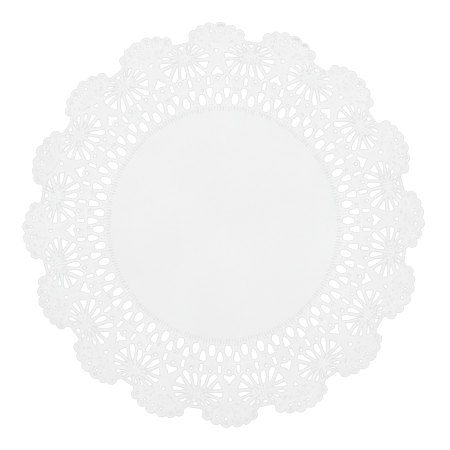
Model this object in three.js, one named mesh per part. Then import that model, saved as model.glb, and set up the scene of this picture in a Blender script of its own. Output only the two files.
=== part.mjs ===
// A round paper lace doily: one sheet of paper, die-cut into lace and embossed, lying flat.
// Millimetres, +Z up. The origin is at the middle of the underside, and +Y runs through the
// middle of one of the shells round the edge.
import * as THREE from "three";

// Driving dimensions, from the middle of the sheet outwards.
const PANEL_RADIUS = 70.4; // the plain round panel
const STITCH_BAND = 4.8; // depth of the solid band of stitches round the panel
const EYELET_ROW = 10.9; // depth of the row of barrel and tulip eyelets
const THREAD_RING = 1.7; // width of the solid ring between two rows of holes
const BEAD_ROW = 5.6; // depth of the row of keyholes and beads
const WHEEL_ROW = 20.8; // depth of the row of spoked wheels
const RIM = 2.0; // width of the solid rim that the shells stand on
const SHELL_ROW = 10.8; // depth of the scalloped shells outside the rim
const SHEET_HEIGHT = 0.6; // height over the embossing, not the gauge of the paper
const REPEATS = 16; // wheels round the sheet, with a shell between each two
const EYELETS_PER_REPEAT = 3; // barrels, tulips, keyholes and beads in the width of a shell
const PETAL_FACETS = 3; // straight facets in each petal's arc

const repeatAngle = (2 * Math.PI) / REPEATS;
const eyeletAngle = repeatAngle / EYELETS_PER_REPEAT;

const eyeletRow = { radius: PANEL_RADIUS + STITCH_BAND, depth: EYELET_ROW, angle: eyeletAngle };
const beadRow = { radius: rowEnd(eyeletRow) + THREAD_RING, depth: BEAD_ROW, angle: eyeletAngle };
const wheelRow = { radius: rowEnd(beadRow), depth: WHEEL_ROW, angle: repeatAngle };
const shellRow = { radius: rowEnd(wheelRow) + RIM, depth: SHELL_ROW, angle: repeatAngle };

// A motif's points are [across, out]. Across is from the motif's own axis, clockwise, in hundredths
// of the angle between two such motifs. Out is from its row's inner edge, in hundredths of its depth.
const BARREL = mirrored([[10, 64], [17.5, 51], [17.5, 17], [10, 4]]);
const TULIP = mirrored([[17, 98], [6.5, 40]]);
const KEYHOLE = mirrored([[6, 88], [7, 34], [9.5, 4]]);
const BEAD = mirrored([[0, 87], [8.5, 76], [0, 56]]);
const ARCH = mirrored([[0, 30], [10, 9], [9, 3], [0, 8]]);
const DROP = mirrored([[2.5, 80], [0, 69]]);

// The holes between the spokes of a wheel, clockwise from the top one.
const WHEEL_HOLES = [
  [[-4, 99], [4, 99], [1.5, 90.5], [-1.5, 90.5]],
  [[8, 88.5], [11, 98.5], [13, 97], [9.5, 87]],
  [[10.5, 79.5], [20, 99], [23.5, 95]],
  [[18, 71], [28, 85.5], [32, 80.5], [30, 76.5]],
  [[17, 58.5], [36.5, 69.5], [38.5, 57]],
  [[19.5, 47], [37, 44], [31.5, 24]],
  [[10.5, 46.5], [23, 23], [30, 9.5], [25, 0.5], [20, 8.5]],
  [[3, 40.5], [5, 40.5], [13, 8], [10, 2.5], [6, 4], [3.5, 12]],
  [[-3.5, 41.5], [-3, 12], [-6.5, 3.5], [-10.5, 3], [-12, 8.5], [-6, 41.5]],
  [[-12, 47], [-18.5, 10], [-25.5, 0], [-29.5, 9], [-23, 23]],
  [[-20.5, 47], [-31.5, 24], [-37, 44]],
  [[-15, 57.5], [-39, 56], [-37, 69]],
  [[-18, 72], [-29.5, 76], [-32, 79.5], [-28.5, 84]],
  [[-12.5, 79.5], [-20.5, 86.5], [-21, 91], [-18.5, 93]],
  [[-8, 86.5], [-12.5, 96.5], [-10.5, 98.5], [-7, 88]],
];

// A shell's edge, clockwise: the point that each stretch ends at, and how far the stretch bulges,
// as a share of its own length. The first point is the shell's foot on the rim.
const SHELL_FOOT = [-40, 1];
const SHELL_STRETCHES = [
  { to: [-36, 17], bulge: 0 },
  { to: [-26.5, 63], bulge: 0.38 },
  { to: [-15.5, 81], bulge: 0.29 },
  { to: [-1, 83], bulge: 0.26 },
  { to: [14.5, 74.5], bulge: 0.31 },
  { to: [27.5, 56], bulge: 0.3 },
  { to: [38.5, 12.5], bulge: 0.4 },
  { to: [41, 0], bulge: 0 },
];

function rowEnd(row) {
  return row.radius + row.depth;
}

// A motif from its right half, listed from top to bottom.
function mirrored(half) {
  const left = half.filter(([across]) => across > 0).map(([across, out]) => [-across, out]);
  return [...half, ...left.reverse()];
}

// Where a motif's point lies on the sheet, for a motif whose axis is turned clockwise from +Y.
function onSheet(row, turn, [across, out]) {
  const angle = turn + (across / 100) * row.angle;
  const radius = row.radius + (out / 100) * row.depth;
  return new THREE.Vector2(radius * Math.sin(angle), radius * Math.cos(angle));
}

function hole(row, turn, motif) {
  return new THREE.Path(motif.map((point) => onSheet(row, turn, point)));
}

// Holes of one motif, side by side, with their axes offset from each repeat's by this many pitches.
function rowOfHoles(row, motif, repeatTurn, offsets) {
  return offsets.map((offset) => hole(row, repeatTurn + offset * row.angle, motif));
}

function repeatHoles(turn) {
  const onEyelets = [-1, 0, 1];
  const betweenEyelets = [-0.5, 0.5, 1.5];
  return [
    ...rowOfHoles(eyeletRow, BARREL, turn, onEyelets),
    ...rowOfHoles(eyeletRow, TULIP, turn, betweenEyelets),
    ...rowOfHoles(beadRow, BEAD, turn, onEyelets),
    ...rowOfHoles(beadRow, KEYHOLE, turn, betweenEyelets),
    hole(wheelRow, turn, ARCH),
    hole(wheelRow, turn, DROP),
    ...WHEEL_HOLES.map((motif) => hole(wheelRow, turn + repeatAngle / 2, motif)),
  ];
}

// The facet ends of a clockwise arc, after its first point. It bulges outwards by a share of its chord.
function arcPoints(from, to, bulge) {
  const chord = to.clone().sub(from);
  const height = bulge * chord.length();
  const radius = chord.length() ** 2 / (8 * height) + height / 2;
  const outwards = new THREE.Vector2(-chord.y, chord.x).normalize();
  const centre = from.clone().add(to).multiplyScalar(0.5).addScaledVector(outwards, height - radius);
  const sweep = 4 * Math.atan(2 * bulge);
  const points = [];
  for (let facet = 1; facet < PETAL_FACETS; facet++) {
    points.push(from.clone().rotateAround(centre, (-sweep * facet) / PETAL_FACETS));
  }
  return [...points, to];
}

function shellEdge(turn) {
  const edge = [onSheet(shellRow, turn, SHELL_FOOT)];
  for (const { to, bulge } of SHELL_STRETCHES) {
    const next = onSheet(shellRow, turn, to);
    edge.push(...(bulge > 0 ? arcPoints(edge.at(-1), next, bulge) : [next]));
  }
  return edge;
}

// The outline is given anticlockwise, because only then does ExtrudeGeometry turn the holes to suit it.
function doilyShape() {
  const turns = Array.from({ length: REPEATS }, (_, repeat) => repeat * repeatAngle);
  const shape = new THREE.Shape(turns.flatMap(shellEdge).reverse());
  shape.holes = turns.flatMap(repeatHoles);
  return shape;
}

function doilySheet() {
  const geometry = new THREE.ExtrudeGeometry(doilyShape(), { depth: SHEET_HEIGHT, bevelEnabled: false });
  const paper = new THREE.MeshStandardMaterial({ color: 0xf1f1ef, roughness: 0.9, metalness: 0 });
  const mesh = new THREE.Mesh(geometry, paper);
  mesh.name = "doily_sheet";
  return mesh;
}

const doily = new THREE.Group();
doily.add(doilySheet());

export default doily;
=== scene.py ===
"""A round lace doily, seen from almost straight above: one sheet of white paper, die-cut and embossed.

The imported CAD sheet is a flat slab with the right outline. Here it is replaced by the paper itself: a
closed solid with a plain underside, rounded corners in the cutting, rounded threads along every cut edge,
and stitches, weave and veins pressed into its upper face. Lengths in this file are in drawn millimetres,
and UNIT turns them into metres from the CAD sheet's own box. The floor and the lamp are in metres.
"""
import math
import random

import bpy
import numpy as np
from mathutils import Matrix, Vector, kdtree
from mathutils.geometry import delaunay_2d_cdt


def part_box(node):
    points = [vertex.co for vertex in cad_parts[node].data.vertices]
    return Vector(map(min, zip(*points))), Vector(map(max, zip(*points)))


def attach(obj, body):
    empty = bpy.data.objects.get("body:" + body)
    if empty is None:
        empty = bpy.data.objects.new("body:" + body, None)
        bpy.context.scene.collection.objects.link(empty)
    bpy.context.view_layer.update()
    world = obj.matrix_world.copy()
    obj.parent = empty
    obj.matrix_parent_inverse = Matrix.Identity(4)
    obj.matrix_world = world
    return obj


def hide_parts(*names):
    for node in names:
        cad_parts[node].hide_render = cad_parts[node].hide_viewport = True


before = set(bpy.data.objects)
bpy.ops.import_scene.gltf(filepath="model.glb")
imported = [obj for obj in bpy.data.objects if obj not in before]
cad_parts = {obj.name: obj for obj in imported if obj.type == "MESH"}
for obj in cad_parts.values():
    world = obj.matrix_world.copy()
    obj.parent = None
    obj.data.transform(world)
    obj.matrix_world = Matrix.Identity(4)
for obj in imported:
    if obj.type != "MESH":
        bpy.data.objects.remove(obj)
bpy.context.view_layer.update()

# ---------------------------------------- sizes, from the middle of the sheet outwards

DRAWN_RADIUS = 126.9  # the CAD sheet's radius at the depths below
PANEL_RADIUS = 70.4
STITCH_BAND = 4.8
EYELET_ROW = 10.9
THREAD_RING = 1.7
BEAD_ROW = 5.6
WHEEL_ROW = 20.8
RIM = 2.0
SHELL_ROW = 10.8
REPEATS = 16
EYELETS_PER_REPEAT = 3

box_low, box_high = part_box("doily_sheet")
UNIT = (box_high.x - box_low.x) / 2 / DRAWN_RADIUS

REPEAT_ANGLE = 2 * math.pi / REPEATS
EYELET_ANGLE = REPEAT_ANGLE / EYELETS_PER_REPEAT


class Row:
    """A ring of the pattern: its inner radius, its depth and the angle that one motif has in it."""

    def __init__(self, radius, depth, angle):
        self.radius = radius
        self.depth = depth
        self.angle = angle

    @property
    def end(self):
        return self.radius + self.depth

    def place(self, turn, point):
        """Where a motif's point lies on the sheet, for a motif whose axis is turned clockwise from +Y."""
        across, out = point
        angle = turn + across / 100 * self.angle
        radius = self.radius + out / 100 * self.depth
        return radius * math.sin(angle), radius * math.cos(angle)


stitch_row = Row(PANEL_RADIUS, STITCH_BAND, REPEAT_ANGLE)
eyelet_row = Row(stitch_row.end, EYELET_ROW, EYELET_ANGLE)
ring_row = Row(eyelet_row.end, THREAD_RING, EYELET_ANGLE)
bead_row = Row(ring_row.end, BEAD_ROW, EYELET_ANGLE)
wheel_row = Row(bead_row.end, WHEEL_ROW, REPEAT_ANGLE)
rim_row = Row(wheel_row.end, RIM, REPEAT_ANGLE)
shell_row = Row(rim_row.end, SHELL_ROW, REPEAT_ANGLE)

# ---------------------------------------- the cutting

# A motif's points are (across, out). Across is from the motif's own axis, clockwise, in hundredths of the
# angle between two such motifs. Out is from its row's inner edge, in hundredths of the row's depth.


def mirrored(half):
    """A motif from its right half, listed from top to bottom."""
    return half + [(-across, out) for across, out in reversed(half) if across > 0]


BARREL = mirrored([(10.5, 65), (13.5, 56), (21.5, 33), (17.5, 14), (11, 4)])
TULIP = mirrored([(16, 97), (17.5, 84), (12.5, 59), (6.5, 40)])
KEYHOLE = mirrored([(3, 93), (8.5, 70), (7, 34), (9.5, 4)])
BEAD = mirrored([(0, 87), (8.5, 77), (0, 55)])
ARCH = mirrored([(0, 30.5), (3, 20), (10, 9.5), (9.5, 3), (6, 3), (2.5, 7)])
DROP = mirrored([(3.2, 79.5), (0, 67.5)])

# The holes between the spokes of a wheel, clockwise from the top one.
WHEEL_HOLES = [
    [(-4, 99), (4, 99), (1.5, 90.5), (-1.5, 90.5)],
    [(8, 88.5), (11, 98.5), (13, 97), (9.5, 87)],
    [(10.5, 79.5), (17, 94), (20, 99), (23.5, 95)],
    [(18, 71), (27, 82.5), (29, 85.5), (32, 80.5), (30, 76.5)],
    [(17, 58.5), (28.5, 65), (36.5, 69.5), (38.5, 57), (28, 56.5)],
    [(19.5, 47), (37, 44), (31.5, 24)],
    [(10.5, 46.5), (23, 23), (30, 9.5), (25, 0.5), (20, 8.5), (15.5, 23)],
    [(3, 40.5), (5, 40.5), (8.5, 25), (13, 8), (10, 2.5), (6, 4), (3.5, 12.5), (3, 24.5)],
    [(-3.5, 41.5), (-3, 24.5), (-3, 11.5), (-6.5, 3.5), (-10.5, 3), (-12, 8.5), (-10, 22.5), (-6, 41.5)],
    [(-12, 47), (-15.5, 28), (-18.5, 10), (-25.5, -0.5), (-29.5, 9), (-23, 23)],
    [(-20.5, 47), (-31.5, 24), (-37, 44)],
    [(-15, 57.5), (-28, 57.5), (-39, 56), (-37, 69), (-28.5, 65.5)],
    [(-18, 72), (-29.5, 76), (-32, 79.5), (-29.5, 84), (-26, 81.5)],
    [(-12.5, 79.5), (-20.5, 86.5), (-21, 91), (-18.5, 93)],
    [(-8, 86.5), (-12.5, 96.5), (-10.5, 98.5), (-7, 88)],
]

# Pinholes between a shell's petals and its middle: where, how wide, and the share of shells that have them.
PINHOLES = (
    ((-30, 18), 0.4, 0.4), ((-18.5, 33), 0.55, 0.6), ((-6.5, 46.5), 0.65, 1), ((6.5, 46.5), 0.75, 1),
    ((18.5, 34), 0.6, 0.8), ((31, 17), 0.45, 0.5),
)
PINHOLE_STRAY = 0.2
PINHOLE_SIZES = (0.75, 1.1)  # the range of their radii, as shares of the one above

# Above each barrel is a pair of eyes, and some of the right ones are pierced.
EYE_SIDE = 10.8
EYE_HOLE = (EYE_SIDE, 90.5)
EYE_HOLE_RADIUS = 0.36
EYE_HOLE_SHARE = 0.4

# A shell's edge, clockwise: where each stretch ends, and how far it bulges as a share of its own length.
SHELL_FOOT = (-40, 1)
SHELL_STRETCHES = [
    ((-36, 17), 0),
    ((-26.5, 63), 0.38),
    ((-15.5, 81), 0.29),
    ((-1, 83), 0.26),
    ((14.5, 74.5), 0.31),
    ((27.5, 56), 0.3),
    ((38.5, 12.5), 0.4),
    ((41, 0), 0),
]

# How much of each side a corner's curve takes, up to a half, where one curve meets the next.
SOFTNESS = {
    "barrel": 0.2, "tulip": 0.2, "keyhole": 0.3, "bead": 0.25, "arch": 0.2, "drop": 0.15, "wheel": 0.08,
}

CUT_STEP = 0.85  # longest stretch of a cut edge between two points
SHORTEST_CUT = 0.4  # points of a cut edge that lie closer than this are one
CUT_WANDER = 0.5  # how far a corner of the die strays, in hundredths of its cell


def softened(corners, reach):
    """The closed outline with a curve in place of each corner, taking a share of the sides beside it."""
    outline = []
    for i, corner in enumerate(corners):
        before, after = np.array(corners[i - 1]), np.array(corners[(i + 1) % len(corners)])
        corner = np.array(corner)
        start = corner + (before - corner) * reach
        end = corner + (after - corner) * reach
        middle = (start + 2 * corner + end) / 4
        outline += [start, middle, end]
    return outline


def stepped(points, closed):
    """The same line with a point at least every CUT_STEP, and none closer together than SHORTEST_CUT."""
    line = [np.array(points[0])]
    following = points[1:] + points[:1] if closed else points[1:]
    for target in following:
        gap = math.dist(line[-1], target)
        if gap < SHORTEST_CUT:
            continue
        start, count = line[-1], math.ceil(gap / CUT_STEP)
        line += [start + (np.array(target) - start) * k / count for k in range(1, count + 1)]
    if closed:
        line.pop()
    return line


def arc(start, end, bulge):
    """Points of a clockwise arc after its start. It stands clear of its chord by a share of its length."""
    start, end = np.array(start), np.array(end)
    chord = end - start
    length = np.linalg.norm(chord)
    height = bulge * length
    radius = length**2 / (8 * height) + height / 2
    outwards = np.array((-chord[1], chord[0])) / length
    centre = (start + end) / 2 + outwards * (height - radius)
    sweep = 4 * math.atan(2 * bulge)
    count = math.ceil(radius * sweep / CUT_STEP)
    spoke = start - centre
    points = []
    for k in range(1, count + 1):
        c, s = math.cos(sweep * k / count), math.sin(sweep * k / count)
        points.append(centre + np.array((spoke[0] * c + spoke[1] * s, spoke[1] * c - spoke[0] * s)))
    return points


def shell_edge(turn):
    edge = [np.array(shell_row.place(turn, SHELL_FOOT))]
    for to, bulge in SHELL_STRETCHES:
        target = np.array(shell_row.place(turn, to))
        if bulge:
            edge += arc(edge[-1], target, bulge)
        else:
            edge.append(target)
    return edge


def hole(rng, row, turn, motif, kind):
    """One hole of the die, each corner a little off, as the cutter left it."""
    corners = []
    for across, out in motif:
        strayed = (across + rng.uniform(-1, 1) * CUT_WANDER, out + rng.uniform(-1, 1) * CUT_WANDER)
        corners.append(row.place(turn, strayed))
    return stepped(softened(corners, SOFTNESS[kind]), closed=True)


def ring_of_points(centre, radius, count):
    angles = [2 * math.pi * k / count for k in range(count)]
    return [centre + radius * np.array((math.sin(a), math.cos(a))) for a in angles]


def cut_loops():
    """Every cut edge: the outer one first, then the holes. The paper lies to the left of each."""
    rng = random.Random(5)
    outer = []
    holes = []
    for repeat in range(REPEATS):
        turn = repeat * REPEAT_ANGLE
        outer += shell_edge(turn)
        for step in (-1, 0, 1):
            holes.append(hole(rng, eyelet_row, turn + step * EYELET_ANGLE, BARREL, "barrel"))
            holes.append(hole(rng, bead_row, turn + step * EYELET_ANGLE, BEAD, "bead"))
            if rng.random() < EYE_HOLE_SHARE:
                middle = np.array(eyelet_row.place(turn + step * EYELET_ANGLE, EYE_HOLE))
                holes.append(ring_of_points(middle, EYE_HOLE_RADIUS, 7))
            between = turn + (step + 0.5) * EYELET_ANGLE
            holes.append(hole(rng, eyelet_row, between, TULIP, "tulip"))
            holes.append(hole(rng, bead_row, between, KEYHOLE, "keyhole"))
        holes.append(hole(rng, wheel_row, turn, ARCH, "arch"))
        holes.append(hole(rng, wheel_row, turn, DROP, "drop"))
        for motif in WHEEL_HOLES:
            holes.append(hole(rng, wheel_row, turn + REPEAT_ANGLE / 2, motif, "wheel"))
        for centre, radius, share in PINHOLES:
            if rng.random() < share:
                middle = np.array(shell_row.place(turn, centre)) + rng.uniform(-PINHOLE_STRAY, PINHOLE_STRAY)
                holes.append(ring_of_points(middle, radius * rng.uniform(*PINHOLE_SIZES), 8))
    outer = stepped(outer, closed=True)
    return [facing(outer, 1)] + [facing(points, -1) for points in holes]


def facing(loop, sign):
    """The loop as an array, turned so that its signed area has this sign."""
    loop = np.array(loop)
    x, y = loop[:, 0], loop[:, 1]
    area = (x * np.roll(y, -1) - np.roll(x, -1) * y).sum() / 2
    return loop if area * sign > 0 else loop[::-1]


# ---------------------------------------- the embossing

THREAD_WIDTH = 0.7  # how far in from a cut edge the paper goes on rising
THREAD_HEIGHT = 0.3  # how far it rises
DENSE_AND_SHADE_WIDTH, DENSE_AND_SHADE_FADE = 0.4, 0.4  # how far in from a cut edge the paper is darkened: pressed dense by the die, and painted shade of the thread's rounded edge
FULLY_DENSE_AND_SHADED_DEPTH = 0.3  # the depth at which a dent is fully darkened: fully dense, and full painted shade in the dent
DIE_DENSITY_AND_SHADE = 0.6  # how dark the die's pressing and the painted shade along cut edges and in dents are, where a crease is 1
FIBRE_DENSITY = 0.035  # how much the lace's density strays
PANEL_DENSITY = 0.1  # the panel is pressed flat
PANEL_MARGIN = 0.8  # how far the flat goes on past the panel, up to the stitches
GROUND_DENSITY = 0.1  # outside the thread ring, the ground between the threads is pressed a little too
GROUND_INSET, GROUND_FADE = 0.8, 0.5  # how far in from a cut edge that ground begins
HUB_CLEAR, HUB_FADE = 5.0, 2.0  # and how far from the middle of a wheel
PRESSED_AND_SHADE = "pressed_and_shade"  # the mesh attribute that tells the material where the paper is darker, from 0 to 1: pressed dense, and painted shade along cut edges, in dents and at creases
GAUGE = 0.11  # the paper's own thickness, seen along the cut edges
LIFT = 0.02  # clearance over the floor


class Emboss:
    """The dents of one repeat: lines from p to q, or rings about them, with a half-width and a depth."""

    def __init__(self):
        self.p, self.q, self.ring, self.width, self.depth = [], [], [], [], []

    def add(self, p, q, ring, width, depth):
        self.p.append(p)
        self.q.append(q)
        self.ring.append(ring)
        self.width.append(width)
        self.depth.append(depth)

    def dot(self, row, turn, point, width, depth):
        centre = row.place(turn, point)
        self.add(centre, centre, 0, width, depth)

    def eye(self, row, turn, start, end, ring, width, depth):
        self.add(row.place(turn, start), row.place(turn, end), ring, width, depth)

    def line(self, row, turn, start, end, width, depth):
        self.add(row.place(turn, start), row.place(turn, end), 0, width, depth)


def emboss_repeat():
    """The dents that every repeat has."""
    made = Emboss()
    add_stitches(made)
    add_eyelet_marks(made)
    add_hub_weave(made)
    add_shell_dents(made)
    return made


STITCHES_PER_REPEAT = 16
STITCH_ROWS = ((26, 46), (60, 76))  # where each row starts and ends, in hundredths of the band
STITCH_WIDTH, STITCH_DEPTH = 0.55, 0.29


def add_stitches(made):
    for k in range(STITCHES_PER_REPEAT):
        across = 100 * ((k + 0.5) / STITCHES_PER_REPEAT - 0.5)
        for start, end in STITCH_ROWS:
            made.line(stitch_row, 0, (across, start), (across, end), STITCH_WIDTH, STITCH_DEPTH)


EYE_START, EYE_END = 86.5, 94  # how far out the line is that an eye is the ring about
EYE_RING, EYE_WIDTH, EYE_DEPTH = 0.7, 0.38, 0.14
V_SIDE, V_TOP, V_FOOT = 11.88, 70, 41  # in the bead row
V_WIDTH, V_DEPTH = 0.45, 0.13
DOT_SIDE, DOT_ROWS = 10, (2.5, 22)
DOT_WIDTH, DOT_DEPTH = 0.7, 0.27


def add_eyelet_marks(made):
    """A pair of eyes above each barrel, two pairs of dots below each tulip, and a V below each bead."""
    for step in (-1, 0, 1):
        turn = step * EYELET_ANGLE
        for side in (-1, 1):
            start, end = (side * EYE_SIDE, EYE_START), (side * EYE_SIDE, EYE_END)
            made.eye(eyelet_row, turn, start, end, EYE_RING, EYE_WIDTH, EYE_DEPTH)
            made.line(bead_row, turn, (side * V_SIDE, V_TOP), (0, V_FOOT), V_WIDTH, V_DEPTH)
        for side in (-1, 1):
            for out in DOT_ROWS:
                made.dot(eyelet_row, turn + EYELET_ANGLE / 2, (side * DOT_SIDE, out), DOT_WIDTH, DOT_DEPTH)


HUB_ROWS = ((79, 4), (71.5, 6), (64, 6), (56.5, 6), (49, 4))  # how far out each row is, and its dents
HUB_PITCH = 4.1
HUB_BOW = 0.01
HUB_DOT_REACH = 0.4  # half the length of a dent
HUB_DOT_WIDTH, HUB_DOT_DEPTH = 0.56, 0.27
HUB_MIDDLE = (0, 64)
HUB_HEART = 3  # no groove comes closer than this to the hub's middle
TAIL, SHORTEST_TAIL = 2.4, 0.3  # how far a groove runs on from a hole's tip towards the hub's middle
TAIL_WIDTH, TAIL_DEPTH = 0.5, 0.24
RAYS = (
    ((-14, 107), (-10, 89)), ((-8.5, 107), (-6, 88)), ((4.5, 103), (3.2, 91)), ((9, 107), (6.5, 89)),
    ((14, 107), (9.5, 86)), ((18.5, 106), (14.5, 91)), ((-24, 97), (-19, 88)), ((-31, 84), (-36, 88)),
)
RAY_WIDTH, RAY_DEPTH = 0.5, 0.18


def add_hub_weave(made):
    """Small dents in rows that bow with the hub, and grooves that carry the spokes into it and on."""
    for out, count in HUB_ROWS:
        for k in range(count):
            across = HUB_PITCH * (k - (count - 1) / 2)
            middle = out - HUB_BOW * across**2
            start, end = (across, middle - HUB_DOT_REACH), (across, middle + HUB_DOT_REACH)
            made.line(wheel_row, REPEAT_ANGLE / 2, start, end, HUB_DOT_WIDTH, HUB_DOT_DEPTH)
    for start, end in RAYS:
        made.line(wheel_row, REPEAT_ANGLE / 2, start, end, RAY_WIDTH, RAY_DEPTH)
    middle = np.array(wheel_row.place(REPEAT_ANGLE / 2, HUB_MIDDLE))
    for motif in WHEEL_HOLES:
        corners = [np.array(wheel_row.place(REPEAT_ANGLE / 2, point)) for point in motif]
        tip = min(corners, key=lambda corner: math.dist(corner, middle))
        away = math.dist(middle, tip)
        run = min(TAIL, max(SHORTEST_TAIL, away - HUB_HEART))
        made.add(tip, tip + (middle - tip) / away * run, 0, TAIL_WIDTH, TAIL_DEPTH)


PETAL_EYE_RING, PETAL_EYE_WIDTH, PETAL_EYE_DEPTH = 1.05, 0.5, 0.17
DENT_WIDTH, DENT_DEPTH = 0.85, 0.25
LONG_DENT_WIDTH, LONG_DENT_DEPTH = 0.6, 0.25
PETAL_EYES = ((-31, 38), (-20.5, 57), (-8.5, 71), (6.5, 73), (20, 60), (31.5, 33))
DENTS = (
    (-5, 16), (13.5, -3), (2, -17), (11, -27), (-9, -37), (-20, -2), (-11.5, 11), (4.5, 6), (13.5, 49),
    (26, 11), (-13, 47), (-1, 42), (12, 30), (-24.5, 22), (-33, 14), (34, 8), (-27, 42), (-2.5, 62),
    (26.5, 50),
)
LONG_DENTS = (((19, -21), (24, -10)), ((-11, -31), (-8, -41)))
FAN_FOOT = (0, -62)
VEINS = 11
VEIN_SPREAD = math.radians(62)  # from the shell's axis to its outermost vein
VEIN_START, VEIN_LATER = (3.6, 4.6), 3.4  # from the foot to a vein, and how much more for one that lies flat
VEIN_END, VEIN_FURTHER = 10.2, 1.8  # and the same for where a vein ends
VEIN_PIECE, VEIN_GAP = (0.6, 1.5), (0.9, 1.5)
VEIN_WIDTH, VEIN_DEPTH = 0.52, (0.08, 0.18)


def add_shell_dents(made):
    """An eye in each petal, dents between them and the middle, and a fan of broken veins below."""
    for eye in PETAL_EYES:
        made.eye(shell_row, 0, eye, eye, PETAL_EYE_RING, PETAL_EYE_WIDTH, PETAL_EYE_DEPTH)
    for dent in DENTS:
        made.dot(shell_row, 0, dent, DENT_WIDTH, DENT_DEPTH)
    for start, end in LONG_DENTS:
        made.line(shell_row, 0, start, end, LONG_DENT_WIDTH, LONG_DENT_DEPTH)
    add_fan(made)


def add_fan(made):
    rng = random.Random(11)
    foot = np.array(shell_row.place(0, FAN_FOOT))
    for k in range(VEINS):
        angle = VEIN_SPREAD * (2 * k / (VEINS - 1) - 1)
        along = np.array((math.sin(angle), math.cos(angle)))
        reach = rng.uniform(*VEIN_START) + VEIN_LATER * abs(math.sin(angle))
        end = VEIN_END + VEIN_FURTHER * math.sin(angle) ** 2
        while reach < end:
            length = rng.uniform(*VEIN_PIECE)
            p, q = foot + along * reach, foot + along * (reach + length)
            made.add(p, q, 0, VEIN_WIDTH, rng.uniform(*VEIN_DEPTH))
            reach += length + rng.uniform(*VEIN_GAP)


# Petals that have been bent: the repeat, the middle and the length of the crease.
CREASES = ((0, (7, 80), 3.2), (1, (7, 82), 3.0), (1, (20, 67), 2.6))
CREASE_WIDTH, CREASE_DEPTH = 1.1, 0.6
CREASE_BOW = 0.12


def crease_depths(flat):
    """A petal that has been bent keeps a short crease across it, pressed into the paper."""
    depths = np.zeros(len(flat))
    for repeat, point, length in CREASES:
        centre = np.array(shell_row.place(repeat * REPEAT_ANGLE, point))
        out = centre / np.linalg.norm(centre)
        offset = flat - centre
        beyond = offset @ out
        beside = offset @ np.array((out[1], -out[0]))
        apart = np.hypot(beyond + CREASE_BOW * beside**2, np.maximum(abs(beside) - length / 2, 0))
        depths = np.maximum(depths, groove(apart, CREASE_WIDTH, CREASE_DEPTH))
    return depths


PETAL_LINE = 1.75  # a groove this far inside the outer edge, which leaves a thread along it
PETAL_LINE_WIDTH, PETAL_LINE_DEPTH = 0.55, 0.15


# ---------------------------------------- the sheet's points

# A gap is the least distance to a point that is there already, and a clearance to a cut edge.
INNER_ROWS = (0.42, 0.8)  # rows of points inside each cut edge: how far in
INNER_GAP = 0.36
INNER_CLEARANCE = 0.85  # as a share of how far in the row is
OUTER_ROWS = (1.2, 1.75, 2.3)  # more rows inside the outer edge, on and beside its groove
OUTER_GAP, OUTER_CLEARANCE = 0.5, 0.5
DENT_GAP, DENT_CLEARANCE = 0.33, 0.35
SPINE_STEP = 0.7  # between the points along the middle of a dent
UPPER_FILL, LOWER_FILL = 1.2, 5.0  # the step of the lattice that fills each face
UPPER_GAP = 0.65  # as a share of that step
UPPER_CLEARANCE, LOWER_CLEARANCE = 0.5, 1.5
FILL_STRAY = 0.1
WHOLE_LATTICE, HALF_LATTICE = 3, 12  # how far into the panel it keeps every point, and every second one


class Spaced:
    """Points of the sheet, kept a least gap apart by a grid of square cells."""

    CELL = 1.0

    def __init__(self):
        self.points = []
        self.cells = {}

    def add(self, point, gap):
        x, y = float(point[0]), float(point[1])
        i, j = math.floor(x / self.CELL), math.floor(y / self.CELL)
        for a in (i - 1, i, i + 1):
            for b in (j - 1, j, j + 1):
                for other in self.cells.get((a, b), ()):
                    if math.dist(other, (x, y)) < gap:
                        return
        self.cells.setdefault((i, j), []).append((x, y))
        self.points.append((x, y))


class CutDistance:
    """How far a point is from the nearest cut edge."""

    STEP = 0.2

    def __init__(self, loops):
        fine = []
        for loop in loops:
            for a, b in zip(loop, np.roll(loop, -1, axis=0)):
                count = max(1, math.ceil(math.dist(a, b) / self.STEP))
                fine += [a + (b - a) * k / count for k in range(count)]
        self.tree = kdtree.KDTree(len(fine))
        for i, point in enumerate(fine):
            self.tree.insert((point[0], point[1], 0), i)
        self.tree.balance()

    def __call__(self, point):
        return self.tree.find((point[0], point[1], 0))[2]


def dent_points(made):
    """Points in each dent of one repeat and where it ends."""
    points = []
    for p, q, ring, width in zip(made.p, made.q, made.ring, made.width):
        p, q = np.array(p), np.array(q)
        length = math.dist(p, q)
        if ring:
            for end in (p, q):
                points += [end] + ring_of_points(end, ring, 8) + ring_of_points(end, ring + width, 10)
        elif length < 1e-6:
            points += [p] + ring_of_points(p, width, 6)
        else:
            along = (q - p) / length
            side = np.array((-along[1], along[0])) * width
            count = max(2, round(length / SPINE_STEP) + 1)
            spine = [p + (q - p) * k / (count - 1) for k in range(count)]
            points += spine + [point + side for point in spine] + [point - side for point in spine]
            points += [p - along * width, q + along * width]
    return points


def turned(points, turn):
    """The points turned clockwise about the sheet's middle."""
    points = np.asarray(points)
    c, s = math.cos(turn), math.sin(turn)
    return np.stack((points[:, 0] * c + points[:, 1] * s, points[:, 1] * c - points[:, 0] * s), axis=1)


def inside(loop, inset):
    """The loop moved into the paper, point by point."""
    along = np.roll(loop, -1, axis=0) - np.roll(loop, 1, axis=0)
    along /= np.linalg.norm(along, axis=1)[:, None]
    return loop + inset * np.stack((-along[:, 1], along[:, 0]), axis=1)


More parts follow.
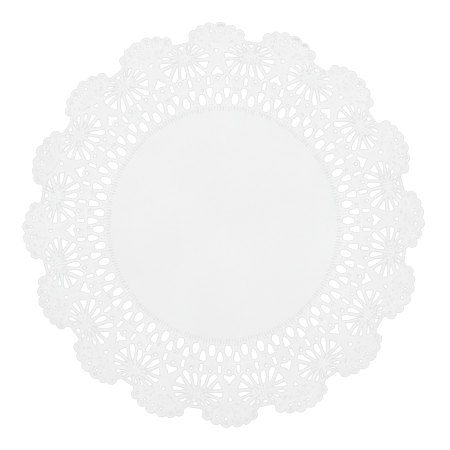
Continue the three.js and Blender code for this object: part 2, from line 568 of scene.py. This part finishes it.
def upper_points(loops, made, distance):
    """The cut edges' points, then those of the relief, then a fill."""
    kept = Spaced()
    for loop in loops:
        for point in loop:
            kept.add(point, 0)
    for inset in INNER_ROWS:
        for loop in loops:
            for point in inside(loop, inset):
                if distance(point) > INNER_CLEARANCE * inset:
                    kept.add(point, INNER_GAP)
    dents = dent_points(made)
    for repeat in range(REPEATS):
        for point in turned(dents, repeat * REPEAT_ANGLE):
            if distance(point) > DENT_CLEARANCE:
                kept.add(point, DENT_GAP)
    for inset in OUTER_ROWS:
        for point in inside(loops[0], inset):
            if distance(point) > OUTER_CLEARANCE:
                kept.add(point, OUTER_GAP)
    for point in fill_points(UPPER_FILL):
        if distance(point) > UPPER_CLEARANCE:
            kept.add(point, UPPER_GAP * UPPER_FILL)
    return kept.points


def lower_points(loops, distance):
    """The cut edges' points, and as few others as a smooth underside needs."""
    kept = Spaced()
    for loop in loops:
        for point in loop:
            kept.add(point, 0)
    for point in fill_points(LOWER_FILL):
        if distance(point) > LOWER_CLEARANCE:
            kept.add(point, 0)
    return kept.points


def fill_points(step):
    """A triangular lattice, coarser in the panel."""
    rng = random.Random(2)
    points = []
    reach = math.ceil(1.2 * DRAWN_RADIUS / step)
    for j in range(-reach, reach + 1):
        for i in range(-reach, reach + 1):
            x, y = (i + 0.5 * (j % 2)) * step, j * step * math.sqrt(0.75)
            radius = math.hypot(x, y)
            inwards = PANEL_RADIUS - radius
            thin = 1 if inwards < WHOLE_LATTICE else 2 if inwards < HALF_LATTICE else 3
            if radius < DRAWN_RADIUS and i % thin == 0 and j % thin == 0:
                x += rng.uniform(-FILL_STRAY, FILL_STRAY)
                y += rng.uniform(-FILL_STRAY, FILL_STRAY)
                points.append((x, y))
    return points


def paper_triangles(points, loops):
    """The sheet's triangles, which are all that can be reached from its middle without crossing a cut edge.

    Returned with the points that they use, the cut edges' points still first, and with the cut edges.
    """
    edges = []
    start = 0
    for loop in loops:
        count = len(loop)
        edges += [(start + k, start + (k + 1) % count) for k in range(count)]
        start += count
    found = delaunay_2d_cdt([Vector(point) for point in points], edges, [], 0, 1e-6, False)
    assert len(found[0]) == len(points), "the cut edges cross, or two points coincide"
    triangles = found[2]
    cut = {frozenset(edge) for edge in edges}
    beside = {}
    for index, (a, b, c) in enumerate(triangles):
        for edge in ((a, b), (b, c), (c, a)):
            beside.setdefault(frozenset(edge), []).append(index)
    middle = min(range(len(triangles)), key=lambda i: sum(math.hypot(*points[v]) for v in triangles[i]))
    reached, waiting = {middle}, [middle]
    while waiting:
        a, b, c = triangles[waiting.pop()]
        for edge in (frozenset((a, b)), frozenset((b, c)), frozenset((c, a))):
            if edge in cut:
                continue
            for other in beside[edge]:
                if other not in reached:
                    reached.add(other)
                    waiting.append(other)
    paper = [triangles[i] for i in sorted(reached)]
    used = sorted({v for triangle in paper for v in triangle})
    assert used[: len(edges)] == list(range(len(edges))), "a cut edge has no paper beside it"
    renumbered = {v: i for i, v in enumerate(used)}
    return [points[v] for v in used], [tuple(renumbered[v] for v in triangle) for triangle in paper], edges


# ---------------------------------------- the sheet's height


DENT_STRENGTHS = (0.5, 1.25)  # the range of the dents' depths, as shares of what is drawn
WAVE_HEIGHT = 1.6
WAVE_MEAN = 0.5
WAVES = ((3, 0.28, 0.6), (5, 0.22, 2.1))  # how many go round the sheet, their share of the height, phase


def smooth(x):
    x = np.clip(x, 0, 1)
    return x * x * (3 - 2 * x)


def groove(apart, width, depth):
    return depth * smooth(1 - apart / width)


def dent_depths(flat, made):
    """How deep each point is pressed by the dents of its own repeat and its neighbours'."""
    angle = np.arctan2(flat[:, 0], flat[:, 1])
    repeat = np.round(angle / REPEAT_ANGLE)
    local_angle = angle - repeat * REPEAT_ANGLE
    radius = np.hypot(flat[:, 0], flat[:, 1])
    local = np.stack((radius * np.sin(local_angle), radius * np.cos(local_angle)), axis=1)
    depths = np.zeros(len(flat))
    rng = np.random.default_rng(7)
    strength = rng.uniform(*DENT_STRENGTHS, (REPEATS, len(made.p)))
    for shift in (-1, 0, 1):
        ps, qs = turned(made.p, shift * REPEAT_ANGLE), turned(made.q, shift * REPEAT_ANGLE)
        owner = (repeat.astype(int) + shift) % REPEATS
        for k, (p, q, ring, width, depth) in enumerate(zip(ps, qs, made.ring, made.width, made.depth)):
            run = q - p
            share = np.clip(((local - p) @ run) / max(run @ run, 1e-9), 0, 1)
            apart = abs(np.linalg.norm(local - p - share[:, None] * run, axis=1) - ring)
            depths = np.maximum(depths, groove(apart, width, depth * strength[owner, k]))
    return depths


def thread_heights(inset):
    """A quarter-round rise from each cut edge."""
    return THREAD_HEIGHT * np.sin(np.clip(inset / THREAD_WIDTH, 0, 1) * math.pi / 2)


def sheet_waves(flat):
    """The slow rise and fall of a sheet from a packet: none up to the panel's edge, most at the petals."""
    angle = np.arctan2(flat[:, 0], flat[:, 1])
    radius = np.hypot(flat[:, 0], flat[:, 1])
    loose = smooth((radius - PANEL_RADIUS) / (DRAWN_RADIUS - PANEL_RADIUS))
    wave = WAVE_MEAN + sum(height * np.sin(count * angle + phase) for count, height, phase in WAVES)
    return WAVE_HEIGHT * loose * wave


# ---------------------------------------- the mesh


def paper_mesh(upper, lower, pressed_and_shade, upper_triangles, lower_triangles, edges):
    """A closed mesh: both faces begin with the cut edges' points, and walls along those edges join them."""
    count = len(upper)
    faces = [tuple(t) for t in upper_triangles]
    faces += [(c + count, b + count, a + count) for a, b, c in lower_triangles]
    faces += [(a, a + count, b + count, b) for a, b in edges]
    mesh = bpy.data.meshes.new("paper_doily")
    mesh.from_pydata((np.vstack((upper, lower)) * UNIT).tolist(), [], faces)
    mesh.polygons.foreach_set("use_smooth", np.ones(len(mesh.polygons), bool))
    mark_sharp(mesh, edges, count)
    attribute = mesh.attributes.new(PRESSED_AND_SHADE, "FLOAT", "POINT")
    attribute.data.foreach_set("value", np.concatenate((pressed_and_shade, np.zeros(len(lower)))))
    return mesh


def mark_sharp(mesh, edges, count):
    """The rims of the cut walls are creases, and all else is smooth."""
    rims = {frozenset(edge) for edge in edges} | {frozenset((a + count, b + count)) for a, b in edges}
    sharp = [frozenset(edge.vertices) in rims for edge in mesh.edges]
    mesh.attributes.new("sharp_edge", "BOOLEAN", "EDGE").data.foreach_set("value", sharp)


def hub_distances(flat):
    """How far each point is from the middle of the nearest wheel."""
    radius = np.hypot(flat[:, 0], flat[:, 1])
    angle = (np.arctan2(flat[:, 0], flat[:, 1]) / REPEAT_ANGLE % 1 - 0.5) * REPEAT_ANGLE
    hub = wheel_row.radius + HUB_MIDDLE[1] / 100 * wheel_row.depth
    return np.hypot(radius * angle, radius - hub)


def density_and_painted_shade(flat, inset, depths, creases):
    """How dark the paper is at each point, from 0 to 1: pressed dense by the die, with painted shade along
    the cut edges, in the dents and at the creases of bent petals.
    """
    radius = np.hypot(flat[:, 0], flat[:, 1])
    edges = smooth((DENSE_AND_SHADE_WIDTH + DENSE_AND_SHADE_FADE - inset) / DENSE_AND_SHADE_FADE)
    # Painted shade along the cut edges and in the dents, on top of the die's pressing.
    lace = DIE_DENSITY_AND_SHADE * np.maximum(edges, smooth(depths / FULLY_DENSE_AND_SHADED_DEPTH))
    ground = smooth((inset - GROUND_INSET) / GROUND_FADE) * (radius > bead_row.radius)
    ground *= smooth((hub_distances(flat) - HUB_CLEAR) / HUB_FADE)
    lace = np.maximum(lace, GROUND_DENSITY * ground)
    lace += FIBRE_DENSITY * np.random.default_rng(3).normal(size=len(flat)) * (radius > PANEL_RADIUS)
    panel = PANEL_DENSITY * (radius < PANEL_RADIUS + PANEL_MARGIN)
    # A crease is darkened in full: painted shade of a bent petal.
    return np.clip(np.maximum(np.maximum(lace, panel), smooth(creases / CREASE_DEPTH)), 0, 1)


def add_sheet():
    loops = cut_loops()
    made = emboss_repeat()
    distance, outer = CutDistance(loops), CutDistance(loops[:1])
    points, upper_triangles, edges = paper_triangles(upper_points(loops, made, distance), loops)
    under, lower_triangles, _ = paper_triangles(lower_points(loops, distance), loops)
    flat, flat_under = np.array(points), np.array(under)
    inset = np.array([distance(point) for point in flat])
    outer_inset = np.array([outer(point) for point in flat])
    petal_line = groove(abs(outer_inset - PETAL_LINE), PETAL_LINE_WIDTH, PETAL_LINE_DEPTH)
    depths = np.maximum(dent_depths(flat, made), petal_line)
    creases = crease_depths(flat)
    relief = np.maximum(thread_heights(inset) - np.maximum(depths, creases), 0)
    upper = np.column_stack((flat, LIFT + GAUGE + relief + sheet_waves(flat)))
    lower = np.column_stack((flat_under, LIFT + sheet_waves(flat_under)))
    pressed_and_shade = density_and_painted_shade(flat, inset, depths, creases)
    mesh = paper_mesh(upper, lower, pressed_and_shade, upper_triangles, lower_triangles, edges)
    sheet = bpy.data.objects.new("paper_doily", mesh)
    bpy.context.scene.collection.objects.link(sheet)
    return sheet


# ---------------------------------------- materials


PAPER_DARK, PAPER_LIGHT = (0.78, 0.78, 0.785, 1), (0.82, 0.82, 0.825, 1)
# The grey of pressed paper, which also serves as painted shade along cut edges, in dents and at creases.
PRESSED_AND_SHADED_PAPER = (0.615, 0.615, 0.62, 1)
MOTTLE_SCALE, CLOUD_SCALE = 1100, 22  # to the metre
CLOUD_SHARE = 0.6
FLOOR_GLOW = 0.88  # mostly luminous, so that the paper's holes show it white


def node_material(name):
    material = bpy.data.materials.new(name)
    material.use_nodes = True
    tree = material.node_tree
    return material, tree.nodes, tree.links, tree.nodes["Principled BSDF"]


def paper_material():
    """White paper, mottled by its fibres, greyer where the die has pressed it dense, and with painted shade
    along cut edges, in dents and at creases.
    """
    material, nodes, links, shader = node_material("embossed_paper")
    shader.inputs["Roughness"].default_value = 0.85
    shader.inputs["Specular IOR Level"].default_value = 0.25
    place = nodes.new("ShaderNodeTexCoord")
    mottle = nodes.new("ShaderNodeTexNoise")
    mottle.inputs["Scale"].default_value = MOTTLE_SCALE
    mottle.inputs["Detail"].default_value = 2
    links.new(place.outputs["Object"], mottle.inputs["Vector"])
    clouds = nodes.new("ShaderNodeTexNoise")
    clouds.inputs["Scale"].default_value = CLOUD_SCALE
    clouds.inputs["Detail"].default_value = 3
    links.new(place.outputs["Object"], clouds.inputs["Vector"])
    blend = nodes.new("ShaderNodeMix")
    blend.inputs["Factor"].default_value = CLOUD_SHARE
    links.new(mottle.outputs["Fac"], blend.inputs["A"])
    links.new(clouds.outputs["Fac"], blend.inputs["B"])
    tint = nodes.new("ShaderNodeValToRGB")
    tint.color_ramp.elements[0].color = PAPER_DARK
    tint.color_ramp.elements[1].color = PAPER_LIGHT
    tint.color_ramp.elements[0].position = 0.3
    tint.color_ramp.elements[1].position = 0.7
    links.new(blend.outputs["Result"], tint.inputs["Fac"])
    # Darker where the attribute says: pressed paper, with painted shade along cut edges, in dents and at
    # creases.
    pressed_and_shade = nodes.new("ShaderNodeAttribute")
    pressed_and_shade.attribute_name = PRESSED_AND_SHADE
    density_and_shade_mix = nodes.new("ShaderNodeMix")
    density_and_shade_mix.data_type = "RGBA"
    density_and_shade_mix.inputs["B"].default_value = PRESSED_AND_SHADED_PAPER
    links.new(tint.outputs["Color"], density_and_shade_mix.inputs["A"])
    links.new(pressed_and_shade.outputs["Fac"], density_and_shade_mix.inputs["Factor"])
    links.new(density_and_shade_mix.outputs["Result"], shader.inputs["Base Color"])
    bump = nodes.new("ShaderNodeBump")
    bump.inputs["Strength"].default_value = 0.12
    bump.inputs["Distance"].default_value = 0.0002
    links.new(mottle.outputs["Fac"], bump.inputs["Height"])
    links.new(bump.outputs["Normal"], shader.inputs["Normal"])
    return material


def floor_material():
    material, nodes, links, shader = node_material("white_floor")
    shader.inputs["Base Color"].default_value = (0.2, 0.2, 0.2, 1)
    shader.inputs["Roughness"].default_value = 0.9
    shader.inputs["Specular IOR Level"].default_value = 0.1
    shader.inputs["Emission Color"].default_value = (1, 1, 1, 1)
    shader.inputs["Emission Strength"].default_value = FLOOR_GLOW
    return material


# ---------------------------------------- camera, light and floor

LENS = 1600  # in millimetres: from so far off, near and far petals look the same size
VIEW_TURN = math.radians(-2.1)  # so that the shell nearest the top stands a little anticlockwise of upright
VIEW_TILT = math.radians(8.5)  # the camera leans from straight above, so the sheet looks narrower than high
VIEW_SIDE = math.radians(11)  # the side it leans to, anticlockwise from +X
VIEW_WIDTH = 281.0  # of the floor, across the picture
VIEW_MIDDLE = (0.94, -0.1)  # the point of the sheet in the middle of the picture

# In metres and watts.
FLOOR_SIDE = 6.0
LAMP_SIZE = 0.25
LAMP_POWER = 1.6
LAMP_PLACE = (0.06, 0.4, 1.0)


def add_camera():
    data = bpy.data.cameras.new("camera")
    data.lens = LENS
    data.sensor_width = 36
    camera = bpy.data.objects.new("camera", data)
    lean = Matrix.Rotation(VIEW_SIDE, 3, "Z") @ Matrix.Rotation(VIEW_TILT, 3, "Y")
    view = lean @ Matrix.Rotation(VIEW_TURN - VIEW_SIDE, 3, "Z")
    camera.rotation_euler = view.to_euler()
    distance = VIEW_WIDTH * UNIT * data.lens / data.sensor_width
    camera.location = Vector((*VIEW_MIDDLE, 0)) * UNIT + view @ Vector((0, 0, distance))
    data.clip_end = 10 * distance
    bpy.context.scene.collection.objects.link(camera)
    bpy.context.scene.camera = camera


def add_floor():
    mesh = bpy.data.meshes.new("floor")
    low, high = -FLOOR_SIDE / 2, FLOOR_SIDE / 2
    mesh.from_pydata([(low, low, 0), (high, low, 0), (high, high, 0), (low, high, 0)], [], [(0, 1, 2, 3)])
    floor = bpy.data.objects.new("floor", mesh)
    floor.data.materials.append(floor_material())
    bpy.context.scene.collection.objects.link(floor)


def add_light():
    data = bpy.data.lights.new("overhead", "AREA")
    data.size = LAMP_SIZE
    data.energy = LAMP_POWER
    lamp = bpy.data.objects.new("overhead", data)
    lamp.location = LAMP_PLACE
    bpy.context.scene.collection.objects.link(lamp)
    world = bpy.data.worlds.new("studio")
    world.use_nodes = True
    world.node_tree.nodes["Background"].inputs["Color"].default_value = (1, 1, 1, 1)
    world.node_tree.nodes["Background"].inputs["Strength"].default_value = 1
    bpy.context.scene.world = world
    bpy.context.scene.view_settings.view_transform = "Standard"


# ---------------------------------------- the scene

add_camera()
sheet = add_sheet()
sheet.data.materials.append(paper_material())
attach(sheet, "root")
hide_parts("doily_sheet")
add_floor()
add_light()
